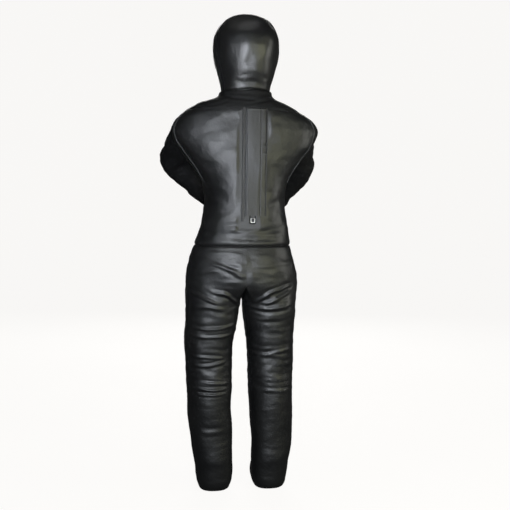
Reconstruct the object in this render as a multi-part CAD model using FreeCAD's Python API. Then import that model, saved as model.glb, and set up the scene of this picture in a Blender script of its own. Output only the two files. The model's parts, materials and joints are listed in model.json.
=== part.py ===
import FreeCAD, Part
import math
import os

# Grappling dummy: a life-size stuffed leather figure for wrestling practice.
# Millimetres. +Z up, the figure faces -Y, +X is its own left-hand side. The
# origin is on the floor, midway between the feet, below the spine.
# Every limb is a leather cover round a packed textile filling. Where a limb
# bends, the filling of the moving piece ends in a ball about the bend's centre,
# the cover of the fixed piece stops short of it, and a gusset bridges the gap.

# Driving dimensions
HEIGHT = 1680.0
LEATHER = 3.0            # leather with its canvas backing
FIT_GAP = 0.3            # between a cover and its filling
SWING_GAP = 1.5          # between a moving piece and the one it turns against
SEAM_GAP = 0.2           # between two covers that are sewn edge to edge
WELT = 2.0               # how far a sewn-over edge stands out of the cover
OUTLINE_POINTS = 16
OUTLINE_POWER = 2.3      # 2 is an ellipse, more is squarer

NECK_Z = 1400.0
WAIST_Z = 890.0
HIP_Z = 734.0
KNEE_Z = 455.0
HIP_X = 99.0
KNEE_X = 108.0
SHOULDER = (195.0, -35.0, 1290.0)

# Outlines as (height, half width, depth in front, depth behind)
HEAD_ROWS = [
    (1400.0, 84.0, 80.0, 80.0),
    (1424.0, 85.5, 90.0, 84.0),
    (1450.0, 91.0, 108.0, 93.0),
    (1487.0, 101.0, 120.0, 108.0),
    (1530.0, 112.0, 125.0, 120.0),
    (1571.0, 115.0, 124.0, 124.0),
    (1606.0, 109.5, 116.0, 118.0),
    (1634.0, 95.0, 98.0, 101.0),
    (1656.0, 74.0, 74.0, 77.0),
    (1671.0, 47.0, 46.0, 48.0),
    (HEIGHT, 16.0, 15.0, 16.0),
]
TORSO_ROWS = [
    (886.0, 169.0, 104.0, 104.0),
    (935.0, 157.0, 100.0, 102.0),
    (1002.0, 142.0, 98.0, 102.0),
    (1060.0, 142.0, 103.0, 102.0),
    (1110.0, 153.0, 109.0, 102.0),
    (1160.0, 185.0, 113.0, 102.0),
    (1205.0, 220.0, 114.0, 102.0),
    (1245.0, 243.0, 110.0, 102.0),
    (1280.0, 249.0, 102.0, 102.0),
    (1315.0, 232.0, 90.0, 102.0),
    (1340.0, 197.0, 80.0, 101.0),
    (1360.0, 160.0, 76.0, 97.0),
    (1382.0, 117.0, 80.0, 90.0),
    (1409.0, 88.0, 84.0, 85.0),
]
PELVIS_ROWS = [
    (736.0, 198.0, 100.0, 113.0),
    (762.0, 198.0, 103.0, 117.0),
    (800.0, 192.0, 106.0, 119.0),
    (830.0, 184.0, 106.0, 116.0),
    (855.0, 176.5, 105.0, 110.0),
    (884.0, 169.5, 104.0, 104.0),
]
# The feet's and legs' rows name the centre line too: (height, x, half width, front, behind)
FOOT_ROWS = [
    (3.0, 100.0, 45.0, 150.0, 45.0),
    (15.0, 100.0, 55.0, 161.0, 54.0),
    (35.0, 100.0, 61.0, 165.0, 61.0),
    (60.0, 101.0, 63.0, 150.0, 63.5),
    (86.0, 103.0, 66.0, 108.0, 66.0),
    (112.0, 105.0, 69.0, 82.0, 69.0),
]
LEG_ROWS = [
    (112.0, 105.0, 69.0, 69.0, 69.0),
    (145.0, 107.5, 72.0, 70.0, 70.0),
    (221.0, 110.0, 74.5, 72.0, 74.0),
    (306.0, 111.0, 77.5, 76.0, 79.0),
    (380.0, 110.0, 79.5, 78.0, 81.0),
    (455.0, 108.0, 81.5, 80.0, 81.0),
    (520.0, 106.5, 84.5, 86.0, 86.0),
    (600.0, 102.5, 90.0, 94.0, 94.0),
    (664.0, 100.5, 94.5, 98.0, 101.0),
    (734.0, 99.0, 97.5, 95.0, 98.0),
]
HOOD_HEM_Z = 1411.0
COLLAR_Z = 1353.0
CHEST_HEM_Z = 994.0
BACK_HEM_Z = 935.0
WAIST_SEAM_Z = 882.0
SEAT_HEM_Z = 763.0
PELVIS_FRONT_Z = 836.0
INSTEP_Z = 112.0
SOLE_THICKNESS = 3.0
WELT_DROP = 4.0           # the waist welt's edge below the seam
NECK_HOLLOW = 6.0         # room round the head's ball for the filling to shift
SHOULDER_TOP_DROP = 36.0  # the trunk's filling stops this far below the hood's hem
SHOULDER_HALF = 92.0      # half the width of the filling's top hollow

# Balls of filling at the bends
NECK_BALL = 78.0
HIP_BALL = 80.0
KNEE_BALL = 76.0
WAIST_ROLL = (138.0, 97.0, 97.0)

# Arms: elbow and wrist of the left (+1) and the right (-1) arm, as x away from the middle
ELBOW = {1: (238.0, -203.0, 1177.0), -1: (250.0, -169.0, 1140.0)}
WRIST = {1: (137.0, -289.0, 1078.0), -1: (176.0, -278.0, 1041.0)}
SHOULDER_R = 57.0
UPPER_ARM_R = 53.0
ELBOW_R = 48.0
FOREARM_R = 46.0
WRIST_R = 38.0
HAND_LENGTH = 112.0
HAND_HALF = (43.0, 27.0)  # across the palm, through it
ARM_LOWEST = 22.0         # degrees forward of straight down, when lowered
ARM_HIGHEST = 134.0       # the same, when raised
ARM_REACH = 330.0
ARM_CHANNEL_X = 136.0     # the chest ends here beside the arms

# Zip and its flap, on the flat strip down the middle of the back
BACK_Y = 100.0
ZIP_X = -14.0            # the zip is under the middle of its flap
ZIP_LOW = 968.0
ZIP_HIGH = 1342.0
ZIP_SLOT = 11.0           # half the gap between the back panels
SLOT_SPARE = (6.0, 4.0)   # the gap runs this far below and above the zip
ZIP_BED_HALF = 23.0       # hollow in the filling behind the zip
ZIP_BED_Y = 91.6
TAPE_END = (5.0, 3.0)     # the tapes run this far below and above the teeth
STOP_HEIGHT = 2.6
STOP_DROP = 4.0
STOP_RISE = 1.0
TEETH_Y = (94.2, 98.2)
TEETH_X = (0.8, 4.5)
TEETH_PITCH = 4.2
TEETH_HEIGHT = 2.4
TAPE_Y = (95.6, 96.8)
TAPE_WIDTH = 14.5
SLIDER_HALF = 6.5
SLIDER_Z = (972.0, 988.0)
SLIDER_PLATE = 1.4
SLIDER_BLADE = (0.6, 5.0)  # half thickness, height
BAIL_HALF = 1.5
BAIL_WALL = 1.2
PLAY = 0.4
PULL_PIVOT = (101.4, 975.5)  # depth, height
PULL_WIDTH = 15.0
PULL_LENGTH = 15.0
PULL_BAR = 2.4
PULL_THICK = 1.6
PIVOT_R = 0.9
PIVOT_GAP = 0.3
FLAP_Z = (985.0, 1352.0)
FLAP_X = (-60.5, 13.5)
FLAP_Y = (104.2, 107.2)
FLAP_HEM_X = (14.7, 25.5)
FLAP_HEM_Z = (965.0, 1352.0)
FLAP_ROOT = 5.0          # the flap is this wide where it is sewn down
FLAP_LIFT = 0.6
STRIP_X = (-46.0, -28.0)
LOOP_PILE = 1.3
HOOK_PILE = 2.7
STRIP_MARGIN = 6.0

FAR = 900.0


def vec(x, y, z):
    return FreeCAD.Vector(x, y, z)


def box(x, y, z):
    """A box from three (low, high) pairs."""
    return Part.makeBox(x[1] - x[0], y[1] - y[0], z[1] - z[0], vec(x[0], y[0], z[0]))


def superellipse(angle, half, power):
    """Signed reach of a rounded outline along one axis, at cosine or sine angle."""
    return half * math.copysign(abs(angle) ** (2.0 / power), angle)


def outline(z, x, half_width, front, behind, inset):
    """Closed level outline whose front and back depths differ."""
    points = []
    for index in range(OUTLINE_POINTS):
        turn = 2.0 * math.pi * index / OUTLINE_POINTS
        depth = behind if math.sin(turn) > 0 else front
        points.append(vec(
            x + superellipse(round(math.cos(turn), 9), half_width - inset, OUTLINE_POWER),
            superellipse(round(math.sin(turn), 9), depth - inset, OUTLINE_POWER),
            z))
    curve = Part.BSplineCurve()
    curve.interpolate(Points=points, PeriodicFlag=True)
    return Part.Wire([curve.toShape()])


def stack(rows, inset=0.0):
    """Smooth solid through level outlines, drawn in by inset all round."""
    return Part.makeLoft([outline(z, x, w, f, b, inset) for z, x, w, f, b in rows], True, False)


def middle(rows):
    """Rows of a piece that stands on the middle plane."""
    return [(z, 0.0, w, f, b) for z, w, f, b in rows]


def level(shape, low, high):
    """The part of a shape between two heights."""
    return shape.common(box((-FAR, FAR), (-FAR, FAR), (low, high)))


def front_of(shape):
    return shape.common(box((-FAR, FAR), (-FAR, -SEAM_GAP / 2), (-FAR, 2 * FAR)))


def back_of(shape):
    return shape.common(box((-FAR, FAR), (SEAM_GAP / 2, FAR), (-FAR, 2 * FAR)))


def behind_above(low):
    """A block that takes in the rear half of the figure above a height."""
    return box((-FAR, FAR), (-SEAM_GAP / 2, FAR), (low, 2 * FAR))


def side_of(shape, side, seam_x=0.0):
    """The half of a shape on one side of the middle plane, or of another upright seam."""
    low, high = sorted((seam_x + side * SEAM_GAP / 2, side * FAR))
    return shape.common(box((low, high), (-FAR, FAR), (-FAR, 2 * FAR)))


def on_zip(shape):
    """A shape made on the middle plane, moved to the line of the zip."""
    return shape.translated(vec(ZIP_X, 0, 0))


def ball(radius, centre):
    return Part.makeSphere(radius, centre)


def unit(vector):
    return vector.multiply(1.0 / vector.Length)


def tube(stations, start, direction):
    """Round solid along a straight axis, from (distance, radius) stations."""
    wires = []
    for distance, radius in stations:
        centre = start.add(FreeCAD.Vector(direction).multiply(distance))
        wires.append(Part.Wire([Part.Circle(centre, direction, radius).toShape()]))
    return Part.makeLoft(wires, True, False)


def drawn_in(stations, inset):
    return [(distance, radius - inset) for distance, radius in stations]


def beyond(point, direction):
    """A large block on the far side of the plane through point, square to direction."""
    disc = Part.Circle(point, direction, FAR).toShape()
    return Part.Face(Part.Wire([disc])).extrude(FreeCAD.Vector(direction).multiply(FAR))


def save(name, shape):
    solids = shape.Solids
    shape = solids[0] if len(solids) == 1 else Part.makeCompound(solids)
    shape.exportStep("parts/" + name + ".step")
    print(name, "solids", len(solids), "volume", round(shape.Volume / 1000.0, 2), "valid", shape.isValid())


def save_pair(name, shape):
    """Save a left-hand piece and its mirror image."""
    shape = max(shape.removeSplitter().Solids, key=lambda solid: solid.Volume)
    save(name + "_left", shape)
    save(name + "_right", shape.mirror(vec(0, 0, 0), vec(1, 0, 0)))


# Head and neck

def make_head():
    rows = middle(HEAD_ROWS)
    outside = stack(rows)
    inside = stack(rows, LEATHER)
    crown = box((-FAR, FAR), (-FAR, FAR), (HEIGHT - LEATHER, HEIGHT + LEATHER))
    cover = level(outside.cut(inside.cut(crown)), HOOD_HEM_Z, HEIGHT)
    save("hood_back_panel", back_of(cover))
    save("hood_front_panel", front_of(cover))
    packing = stack(rows, LEATHER + FIT_GAP)
    packing = level(packing, NECK_Z, HEIGHT - LEATHER - FIT_GAP)
    save("head_filling", packing.fuse(ball(NECK_BALL, vec(0, 0, NECK_Z))))


# Torso

def arm_channel(side, clearance):
    """The space beside the chest that one arm swings through."""
    centre_y, centre_z = SHOULDER[1], SHOULDER[2]
    x_range = sorted((side * ARM_CHANNEL_X, side * 2 * FAR / 3))
    depth = x_range[1] - x_range[0]
    radius = SHOULDER_R + clearance
    hub = Part.makeCylinder(radius, depth, vec(x_range[0], centre_y, centre_z), vec(1, 0, 0))
    lowest = math.radians(ARM_LOWEST)
    highest = math.radians(ARM_HIGHEST)

    def at(angle, along, behind):
        """A point along an arm at this angle, offset towards the back of its swing."""
        ahead = (-math.sin(angle), -math.cos(angle))
        across = (math.cos(angle), -math.sin(angle))
        return vec(x_range[0], centre_y + along * ahead[0] + behind * across[0],
                   centre_z + along * ahead[1] + behind * across[1])

    corners = [
        vec(x_range[0], centre_y, centre_z),
        at(lowest, 0.0, radius),
        at(lowest, ARM_REACH, radius),
        at(lowest, ARM_REACH, 0.0),
        at(math.radians(90.0), ARM_REACH, 0.0),
        at(highest, ARM_REACH, 0.0),
        at(highest, ARM_REACH, -radius),
        at(highest, 0.0, -radius),
    ]
    fan = Part.Face(Part.makePolygon(corners + corners[:1])).extrude(vec(depth, 0, 0))
    return hub.fuse(fan)


def back_strip_cut(depth):
    """Everything behind the flat strip that carries the zip, sunk by depth."""
    return box((-FAR, FAR), (BACK_Y - depth, FAR), (-FAR, 2 * FAR))


def make_torso():
    rows = middle(TORSO_ROWS)
    channels = arm_channel(1, SWING_GAP + LEATHER).fuse(arm_channel(-1, SWING_GAP + LEATHER))
    outside = stack(rows).cut(back_strip_cut(0.0))
    inside = stack(rows, LEATHER).cut(back_strip_cut(LEATHER))
    cover = outside.cut(inside)
    save("neck_collar", level(cover, COLLAR_Z + SEAM_GAP, HOOD_HEM_Z - SWING_GAP))

    trunk = cover.cut(channels)
    chest = front_of(level(trunk, CHEST_HEM_Z, COLLAR_Z)).Solids
    save("chest_panel", max(chest, key=lambda solid: solid.Volume))
    slot = box((-ZIP_SLOT, ZIP_SLOT), (0.0, FAR), (ZIP_LOW - SLOT_SPARE[0], ZIP_HIGH + SLOT_SPARE[1]))
    back = back_of(level(trunk, BACK_HEM_Z, COLLAR_Z)).cut(on_zip(slot))
    save("back_panel_left", side_of(back, 1, ZIP_X))
    save("back_panel_right", side_of(back, -1, ZIP_X))

    packing = stack(rows, LEATHER + FIT_GAP).cut(back_strip_cut(LEATHER + FIT_GAP))
    packing = level(packing, CHEST_HEM_Z, HOOD_HEM_Z - SHOULDER_TOP_DROP).cut(channels)
    packing = packing.cut(ball(NECK_BALL + LEATHER + SWING_GAP + NECK_HOLLOW, vec(0, 0, NECK_Z)))
    packing = packing.cut(box((-SHOULDER_HALF, SHOULDER_HALF), (-FAR, FAR), (COLLAR_Z - LEATHER, FAR * 2)))
    zip_bed = box((-ZIP_BED_HALF, ZIP_BED_HALF), (ZIP_BED_Y, FAR), (0.0, ZIP_HIGH + SLOT_SPARE[0]))
    save("torso_filling", packing.cut(on_zip(zip_bed)))

    band = level(cover, WAIST_Z - LEATHER, CHEST_HEM_Z - SEAM_GAP)
    save("waist_gusset", band.cut(behind_above(BACK_HEM_Z - SEAM_GAP)))

    hem = stack(rows, -WELT).cut(back_strip_cut(-WELT)).cut(outside)
    save("flap_hem", hem.common(box(FLAP_HEM_X, (0.0, FAR), FLAP_HEM_Z)))


# Zip down the back, with its flap

def make_zip():
    for side, label in ((1, "left"), (-1, "right")):
        x = sorted((side * TEETH_X[1], side * (TEETH_X[1] + TAPE_WIDTH)))
        tape = box(x, TAPE_Y, (ZIP_LOW - TAPE_END[0], ZIP_HIGH + TAPE_END[1]))
        save("zip_tape_" + label, on_zip(tape))
    teeth = []
    count = int((ZIP_HIGH - ZIP_LOW) / TEETH_PITCH)
    for side, stagger in ((1, 0.0), (-1, TEETH_PITCH / 2)):
        x = sorted((side * TEETH_X[0], side * TEETH_X[1]))
        for index in range(count):
            low = ZIP_LOW + stagger + index * TEETH_PITCH
            teeth.append(box(x, TEETH_Y, (low, low + TEETH_HEIGHT)))
    save("zip_teeth", on_zip(Part.makeCompound(teeth)))
    stops = []
    for side in (1, -1):
        x = sorted((side * TEETH_X[0], side * TEETH_X[1]))
        for low in (ZIP_LOW - STOP_DROP, ZIP_HIGH + STOP_RISE):
            stops.append(box(x, TEETH_Y, (low, low + STOP_HEIGHT)))
    save("zip_end_stops", on_zip(Part.makeCompound(stops)))

    across = (-SLIDER_HALF, SLIDER_HALF)
    front_face = TEETH_Y[1] + PLAY
    rear_face = TEETH_Y[0] - PLAY
    outer = box(across, (front_face, front_face + SLIDER_PLATE), SLIDER_Z)
    inner = box(across, (rear_face - SLIDER_PLATE, rear_face), SLIDER_Z)
    blade = box((-SLIDER_BLADE[0], SLIDER_BLADE[0]), (rear_face, front_face),
                (SLIDER_Z[1] - SLIDER_BLADE[1], SLIDER_Z[1]))
    pivot_y, pivot_z = PULL_PIVOT
    eye = PIVOT_R + PIVOT_GAP
    reach = eye + BAIL_WALL
    bail = box((-BAIL_HALF, BAIL_HALF), (front_face + SLIDER_PLATE, pivot_y + eye + PIVOT_R),
               (pivot_z - reach, pivot_z + reach))
    bore_start = vec(-PULL_WIDTH / 2, pivot_y, pivot_z)
    bail = bail.cut(Part.makeCylinder(eye, PULL_WIDTH, bore_start, vec(1, 0, 0)))
    save("zip_slider", on_zip(outer.fuse(inner).fuse(blade).fuse(bail)))

    half = PULL_WIDTH / 2
    thick = (pivot_y - PULL_THICK / 2, pivot_y + PULL_THICK / 2)
    ring = box((-half, half), thick, (pivot_z - PULL_LENGTH, pivot_z))
    window = box((-half + PULL_BAR, half - PULL_BAR), (0.0, FAR),
                 (pivot_z - PULL_LENGTH + PULL_BAR, pivot_z + PIVOT_R))
    bar = Part.makeCylinder(PIVOT_R, PULL_WIDTH, vec(-half, pivot_y, pivot_z), vec(1, 0, 0))
    save("zip_pull", on_zip(ring.cut(window).fuse(bar)))

    root = box((FLAP_X[1] - FLAP_ROOT, FLAP_X[1]), (BACK_Y + FLAP_LIFT, FLAP_Y[0]), FLAP_Z)
    save("zip_flap", box(FLAP_X, FLAP_Y, FLAP_Z).fuse(root))
    strip_z = (FLAP_Z[0] + STRIP_MARGIN, FLAP_Z[1] - STRIP_MARGIN)
    save("flap_loop_strip", box(STRIP_X, (BACK_Y, BACK_Y + LOOP_PILE), strip_z))
    save("flap_hook_strip", box(STRIP_X, (FLAP_Y[0] - HOOK_PILE, FLAP_Y[0]), strip_z))


# Pelvis

def make_pelvis():
    rows = middle(PELVIS_ROWS)
    outside = stack(rows)
    cover = outside.cut(stack(rows, LEATHER))
    save("pelvis_front_panel", front_of(level(cover, PELVIS_FRONT_Z, WAIST_SEAM_Z - WELT_DROP)))
    seat = back_of(level(cover, SEAT_HEM_Z, WAIST_SEAM_Z - WELT_DROP))
    save("seat_panel_left", side_of(seat, 1))
    save("seat_panel_right", side_of(seat, -1))
    welt = stack(rows, -WELT).cut(stack(rows, LEATHER))
    save("waist_welt", level(welt, WAIST_SEAM_Z - WELT_DROP, WAIST_SEAM_Z + WELT))
    packing = level(stack(rows, LEATHER + FIT_GAP), PELVIS_FRONT_Z, WAIST_SEAM_Z)
    roll = ball(1.0, vec(0, 0, 0))
    matrix = FreeCAD.Matrix()
    matrix.scale(*WAIST_ROLL)
    roll = roll.transformGeometry(matrix)
    roll.translate(vec(0, 0, WAIST_Z))
    roll = level(roll, PELVIS_FRONT_Z, 2 * FAR)
    save("pelvis_filling", packing.fuse(roll))
    low = HIP_Z + SWING_GAP
    front = box((SEAM_GAP / 2, FAR), (-FAR, 0.0), (low, PELVIS_FRONT_Z - SEAM_GAP))
    rear = box((SEAM_GAP / 2, FAR), (0.0, FAR), (low, SEAT_HEM_Z - SEAM_GAP))
    save_pair("hip_gusset", cover.common(front.fuse(rear)))


# Legs

def make_legs():
    cover = stack(LEG_ROWS).cut(stack(LEG_ROWS, LEATHER))
    packing = stack(LEG_ROWS, LEATHER + FIT_GAP)
    hip = vec(HIP_X, 0, HIP_Z)
    knee = vec(KNEE_X, 0, KNEE_Z)
    swing_top = KNEE_Z + KNEE_BALL + 2.0 * LEATHER + SWING_GAP

    save_pair("thigh_front_panel", level(front_of(cover), KNEE_Z + SWING_GAP, HIP_Z))
    save_pair("thigh_back_panel", level(back_of(cover), swing_top, HIP_Z))
    save_pair("thigh_filling", level(packing, swing_top, HIP_Z).fuse(ball(HIP_BALL, hip)))
    save_pair("knee_gusset", level(back_of(cover), KNEE_Z + SWING_GAP, swing_top - SEAM_GAP))
    save_pair("shin_front_panel", level(front_of(cover), INSTEP_Z, KNEE_Z))
    save_pair("shin_back_panel", level(back_of(cover), INSTEP_Z, KNEE_Z))
    save_pair("shin_filling", level(packing, INSTEP_Z, KNEE_Z).fuse(ball(KNEE_BALL, knee)))

    foot = stack(FOOT_ROWS).cut(stack(FOOT_ROWS, LEATHER))
    save_pair("foot_cover", level(foot, SOLE_THICKNESS, INSTEP_Z - SEAM_GAP))
    foot_packing = stack(FOOT_ROWS, LEATHER + FIT_GAP)
    save_pair("foot_filling",
              level(foot_packing, SOLE_THICKNESS + FIT_GAP, INSTEP_Z - SEAM_GAP))
    z, x, w, f, b = FOOT_ROWS[0]
    sole = Part.Face(outline(0.0, x, w, f, b, 0.0)).extrude(vec(0, 0, SOLE_THICKNESS))
    save_pair("sole", sole)


# Arms

def make_arm(side, label):
    shoulder = vec(side * SHOULDER[0], SHOULDER[1], SHOULDER[2])
    elbow = vec(side * ELBOW[side][0], ELBOW[side][1], ELBOW[side][2])
    wrist = vec(side * WRIST[side][0], WRIST[side][1], WRIST[side][2])
    upper = elbow.sub(shoulder)
    upper_length = upper.Length
    upper = unit(upper)
    fore = wrist.sub(elbow)
    fore_length = fore.Length
    fore = unit(fore)
    ball_inset = LEATHER + FIT_GAP

    upper_end = upper_length - ELBOW_R - SWING_GAP
    stations = [(0.0, SHOULDER_R), (upper_end * 0.5, UPPER_ARM_R), (upper_end, ELBOW_R)]
    cover = tube(stations, shoulder, upper).cut(tube(drawn_in(stations, LEATHER), shoulder, upper))
    save("upper_arm_cover_" + label, cover)
    packing = tube(drawn_in(stations, ball_inset), shoulder, upper)
    save("upper_arm_filling_" + label, packing.fuse(ball(SHOULDER_R - ball_inset, shoulder)))

    cap = ball(SHOULDER_R + LEATHER, shoulder).cut(ball(SHOULDER_R, shoulder))
    x = sorted((0.0, side * (ARM_CHANNEL_X + 1.0)))
    cap = cap.cut(box(x, (-FAR, FAR), (0.0, 2 * FAR)))
    cap = cap.cut(beyond(shoulder.sub(FreeCAD.Vector(upper).multiply(SEAM_GAP)), upper))
    save("shoulder_gusset_" + label, cap)

    bend_start = upper_end + SEAM_GAP
    sleeve = [(bend_start, ELBOW_R), (upper_length, ELBOW_R)]
    outer = tube(sleeve, shoulder, upper).fuse(ball(ELBOW_R + FIT_GAP, elbow))
    bore = [(bend_start - 1.0, ELBOW_R - LEATHER), (upper_length, ELBOW_R - LEATHER)]
    bend = outer.cut(tube(bore, shoulder, upper)).cut(ball(ELBOW_R - LEATHER + FIT_GAP, elbow))
    bend = bend.cut(beyond(elbow.sub(FreeCAD.Vector(fore).multiply(SEAM_GAP)), fore))
    before = beyond(shoulder.add(FreeCAD.Vector(upper).multiply(bend_start)), upper)
    save("elbow_gusset_" + label, bend.common(before))

    wrist_end = fore_length - SEAM_GAP
    stations = [(0.0, ELBOW_R), (fore_length * 0.35, FOREARM_R), (wrist_end, WRIST_R)]
    cover = tube(stations, elbow, fore).cut(tube(drawn_in(stations, LEATHER), elbow, fore))
    save("forearm_cover_" + label, cover)
    packing = tube(drawn_in(stations, ball_inset), elbow, fore)
    packing = packing.fuse(ball(ELBOW_R - ball_inset, elbow))

    tip_wall = beyond(wrist.add(FreeCAD.Vector(fore).multiply(HAND_LENGTH - LEATHER)), fore)
    hand = make_mitten(wrist, fore, 0.0).cut(make_mitten(wrist, fore, LEATHER).cut(tip_wall))
    save("hand_cover_" + label, hand)
    set_back = wrist.sub(FreeCAD.Vector(fore).multiply(2.0 * LEATHER))
    save("forearm_filling_" + label, packing.fuse(make_mitten(set_back, fore, ball_inset + 1.0)))


def make_mitten(wrist, fore, inset):
    """Closed mitten from the wrist on, flatter through the palm than across it."""
    across = unit(fore.cross(vec(1, 0, 0)))
    widths = [
        (0.0, WRIST_R, WRIST_R),
        (0.25, WRIST_R, 34.0),
        (0.6, HAND_HALF[0], HAND_HALF[1]),
        (0.85, 36.0, 24.0),
        (1.0, 16.0, 12.0),
    ]
    wires = []
    for share, wide, thick in widths:
        centre = wrist.add(FreeCAD.Vector(fore).multiply(share * HAND_LENGTH))
        wires.append(oval(centre, fore, across, wide - inset, thick - inset))
    return Part.makeLoft(wires, True, False)


def oval(centre, normal, across, wide, thick):
    """Closed smooth oval in the plane square to normal, wide along across."""
    through = normal.cross(across)
    points = []
    for index in range(OUTLINE_POINTS):
        turn = 2.0 * math.pi * index / OUTLINE_POINTS
        step = FreeCAD.Vector(across).multiply(wide * math.cos(turn))
        step = step.add(FreeCAD.Vector(through).multiply(thick * math.sin(turn)))
        points.append(centre.add(step))
    curve = Part.BSplineCurve()
    curve.interpolate(Points=points, PeriodicFlag=True)
    return Part.Wire([curve.toShape()])


os.makedirs("parts", exist_ok=True)
make_head()
make_torso()
make_zip()
make_pelvis()
make_legs()
make_arm(1, "left")
make_arm(-1, "right")
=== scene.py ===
import json
import math

import bpy
import numpy as np
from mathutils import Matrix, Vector, noise


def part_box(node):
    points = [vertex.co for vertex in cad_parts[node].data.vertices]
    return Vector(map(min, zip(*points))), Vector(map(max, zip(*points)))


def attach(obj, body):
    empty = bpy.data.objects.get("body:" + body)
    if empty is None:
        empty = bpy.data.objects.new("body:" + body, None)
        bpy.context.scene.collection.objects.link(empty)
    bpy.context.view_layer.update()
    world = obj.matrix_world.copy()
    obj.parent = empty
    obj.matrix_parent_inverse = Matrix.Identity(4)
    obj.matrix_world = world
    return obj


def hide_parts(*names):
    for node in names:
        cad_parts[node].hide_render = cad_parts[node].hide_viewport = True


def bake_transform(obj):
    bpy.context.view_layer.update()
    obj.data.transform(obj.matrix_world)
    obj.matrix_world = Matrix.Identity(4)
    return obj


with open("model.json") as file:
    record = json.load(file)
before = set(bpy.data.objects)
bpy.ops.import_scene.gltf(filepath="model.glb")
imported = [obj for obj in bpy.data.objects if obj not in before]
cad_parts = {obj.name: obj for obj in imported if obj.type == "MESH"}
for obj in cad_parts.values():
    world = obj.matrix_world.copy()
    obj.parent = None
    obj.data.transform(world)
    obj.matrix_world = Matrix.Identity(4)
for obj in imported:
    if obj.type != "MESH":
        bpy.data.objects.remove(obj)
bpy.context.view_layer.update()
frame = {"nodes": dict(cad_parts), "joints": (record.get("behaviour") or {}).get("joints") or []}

# Grappling dummy: the leather skins, seams, flap and soft lighting round the CAD frame.
# Metres. +Z up, the figure faces -Y, +X is its own left-hand side.

PIVOT = {j["name"]: np.array(j["pos_m"], float) for j in frame["joints"] if "pos_m" in j}
HEAD_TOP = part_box("hood_back_panel")[1][2]
FLAP_LOW, FLAP_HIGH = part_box("zip_flap")
HEM_LOW, HEM_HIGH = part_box("flap_hem")
ZIP_BOTTOM, ZIP_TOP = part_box("zip_tape_left")[0][2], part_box("zip_tape_left")[1][2]
ZIP_X = (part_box("zip_teeth")[0][0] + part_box("zip_teeth")[1][0]) / 2

POWER = 2.3              # 2 is an ellipse, more is squarer
BACK_Y = 0.100           # flat strip down the back
SPACING = 0.0035         # between the rows of a skin's mesh
SIDES = {"left": 1, "right": -1}
RING_TURN = np.linspace(0, 2 * math.pi, 160, endpoint=False)   # columns of hood, collar and feet

# Outlines as (height, half width, depth in front, depth behind)
HEAD_ROWS = [
    (1.395, 0.0830, 0.0800, 0.0800),
    (1.410, 0.0850, 0.0840, 0.0830),
    (1.424, 0.0865, 0.0900, 0.0860),
    (1.450, 0.0915, 0.1080, 0.0940),
    (1.487, 0.1010, 0.1200, 0.1080),
    (1.530, 0.1115, 0.1250, 0.1200),
    (1.571, 0.1150, 0.1240, 0.1240),
    (1.606, 0.1100, 0.1160, 0.1180),
    (1.634, 0.0955, 0.0980, 0.1010),
    (1.656, 0.0745, 0.0740, 0.0770),
    (1.671, 0.0480, 0.0470, 0.0490),
    (1.678, 0.0230, 0.0225, 0.0230),
    (HEAD_TOP, 0.0005, 0.0005, 0.0005),
]
TORSO_ROWS = [
    (0.872, 0.1560, 0.090, 0.090),
    (0.8765, 0.1640, 0.098, 0.098),
    (0.8815, 0.1685, 0.103, 0.103),
    (0.887, 0.1695, 0.1045, 0.1045),
    (0.905, 0.166, 0.103, 0.103),
    (0.935, 0.158, 0.101, 0.102),
    (1.002, 0.143, 0.098, 0.101),
    (1.060, 0.1415, 0.103, 0.101),
    (1.110, 0.153, 0.109, 0.101),
    (1.160, 0.185, 0.113, 0.101),
    (1.205, 0.223, 0.114, 0.101),
    (1.245, 0.250, 0.110, 0.101),
    (1.280, 0.2575, 0.102, 0.101),
    (1.315, 0.2400, 0.090, 0.101),
    (1.340, 0.2050, 0.080, 0.100),
    (1.360, 0.1670, 0.076, 0.096),
    (1.382, 0.112, 0.078, 0.088),
    (1.395, 0.080, 0.070, 0.075),
]
COLLAR_ROWS = [
    (1.345, 0.192, 0.082, 0.1015),
    (1.352, 0.184, 0.082, 0.1035),
    (1.360, 0.168, 0.081, 0.1020),
    (1.372, 0.139, 0.080, 0.0980),
    (1.386, 0.110, 0.083, 0.0930),
    (1.399, 0.093, 0.087, 0.0895),
    (1.411, 0.0890, 0.0880, 0.0880),
    (1.4135, 0.0865, 0.0860, 0.0860),
    (1.410, 0.0820, 0.0820, 0.0820),
]
PELVIS_ROWS = [
    (0.660, 0.1965, 0.098, 0.106),
    (0.700, 0.1985, 0.100, 0.111),
    (0.736, 0.1990, 0.103, 0.116),
    (0.762, 0.1985, 0.105, 0.119),
    (0.800, 0.1925, 0.108, 0.121),
    (0.830, 0.1845, 0.109, 0.118),
    (0.855, 0.1775, 0.108, 0.112),
    (0.868, 0.1735, 0.107, 0.1085),
    (0.8745, 0.1710, 0.1055, 0.1060),
    (0.8780, 0.1680, 0.1030, 0.1030),
    (0.8800, 0.1640, 0.0990, 0.0990),
]
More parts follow.
